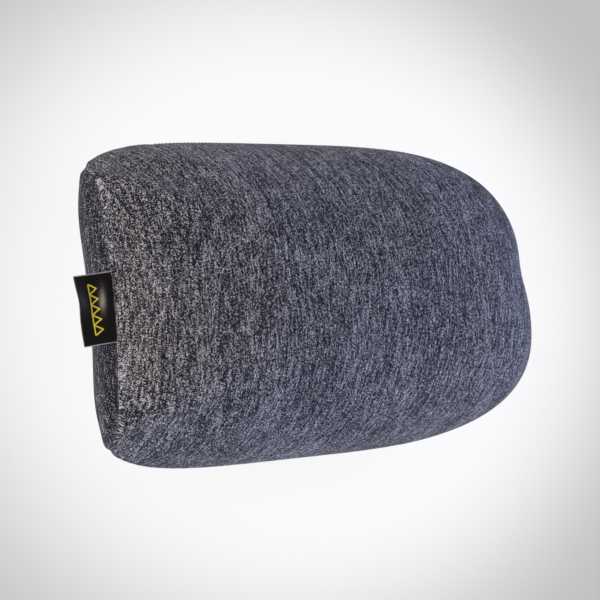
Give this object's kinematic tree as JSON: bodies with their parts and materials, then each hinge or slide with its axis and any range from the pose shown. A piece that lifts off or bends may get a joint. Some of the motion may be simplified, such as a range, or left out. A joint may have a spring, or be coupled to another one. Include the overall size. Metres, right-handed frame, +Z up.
{
  "type": "camp pillow",
  "caption": "Small bolster-shaped camp pillow: a shaped foam core in a heathered jersey cover with an end-seam ribbon label and a zip along one side seam.",
  "frame": {"origin": "middle of the flat patch that the pillow lies on, under the back panel", "axes": "+X along the length from the label end to the far end, +Y across the width towards the zip side, +Z up out of the front panel"},
  "size_m": [0.3999, 0.2055, 0.1264],
  "materials": {
    "jersey": "heathered knit, navy grey",
    "foam": "matt open-cell foam",
    "thread": "matt",
    "satin": "glossy black satin",
    "tape": "matt woven",
    "nylon": "satin",
    "zip_metal": "dark satin"
  },
  "bodies": {
    "pillow": {"cover_front_panel": "jersey", "cover_back_panel": "jersey", "foam_core": "foam", "seam_thread_plain_side": "thread", "seam_thread_zip_side": "thread", "side_label": "satin", "zip_tape_upper": "tape", "zip_tape_lower": "tape", "zip_coil_upper": "nylon", "zip_coil_lower": "nylon", "zip_top_stop_upper": "nylon", "zip_top_stop_lower": "nylon", "zip_bottom_stop": "nylon"},
    "slider": {"zip_slider": "zip_metal"},
    "pull": {"zip_pull": "zip_metal"}
  },
  "joints": [
    {"name": "zip_slide", "type": "slide", "parent": "pillow", "child": "slider", "axis": [1, -0.0033, 0], "range_m": [0, 0.165]},
    {"name": "zip_pull_hinge", "type": "hinge", "parent": "slider", "child": "pull", "pos_m": [-0.11249, 0.09981, 0.0439], "axis": [0, 0, 1], "range_deg": [0, 155]}
  ]
}
